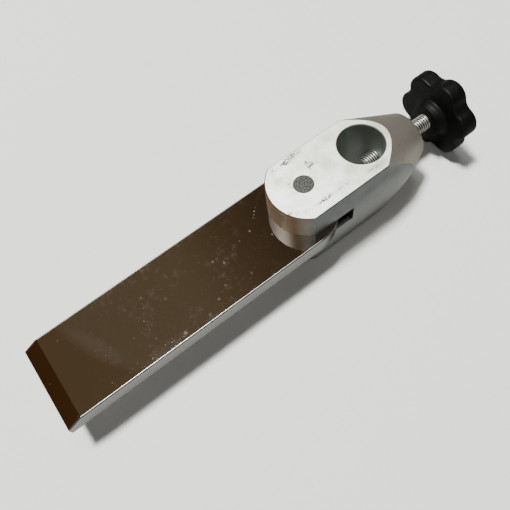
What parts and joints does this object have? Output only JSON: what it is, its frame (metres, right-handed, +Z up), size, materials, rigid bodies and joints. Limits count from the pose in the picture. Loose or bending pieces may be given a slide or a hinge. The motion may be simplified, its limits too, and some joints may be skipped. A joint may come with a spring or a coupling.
{
  "type": "turning tool holder",
  "caption": "Polished flat bar with a bevelled end, pivoted in an aluminium fork head whose bore takes a tool and clamps it with a star knob.",
  "frame": {"origin": "on the axis of the tool bore, at the head's underside", "axes": "+X along the head towards the star knob, +Z up along the bore, +Y completes the right-handed set"},
  "size_m": [0.231, 0.042, 0.0418],
  "materials": {
    "machined_aluminium": "matte, rubbed flat faces and a turned cone",
    "sawn_steel": "sawn and filed end",
    "polished_steel": "mirror polished",
    "zinc_plated_steel": "bright zinc plate",
    "black_plastic": "satin moulding"
  },
  "bodies": {
    "head": {"fork_head": "machined_aluminium", "pivot_pin": "sawn_steel"},
    "bar": {"flat_bar": "polished_steel"},
    "clamp": {"clamp_stud": "zinc_plated_steel"},
    "knob": {"star_knob": "black_plastic"}
  },
  "joints": [
    {"name": "bar_swing", "type": "hinge", "parent": "head", "child": "bar", "pos_m": [-0.0334, 0, 0.02], "axis": [0, 0, 1], "range_deg": [-32, 32]},
    {"name": "clamp_travel", "type": "slide", "parent": "head", "child": "clamp", "axis": [-1, 0, 0], "range_m": [-0.0101, 0.012]},
    {"name": "knob_turn", "type": "hinge", "parent": "clamp", "child": "knob", "pos_m": [0.05, 0, 0.02], "axis": [-1, 0, 0], "range_deg": [-2880, 3420]}
  ],
  "couplings": [
    {"joint": "clamp_travel", "follows": "knob_turn", "m_per_rad": 0.00019894}
  ]
}
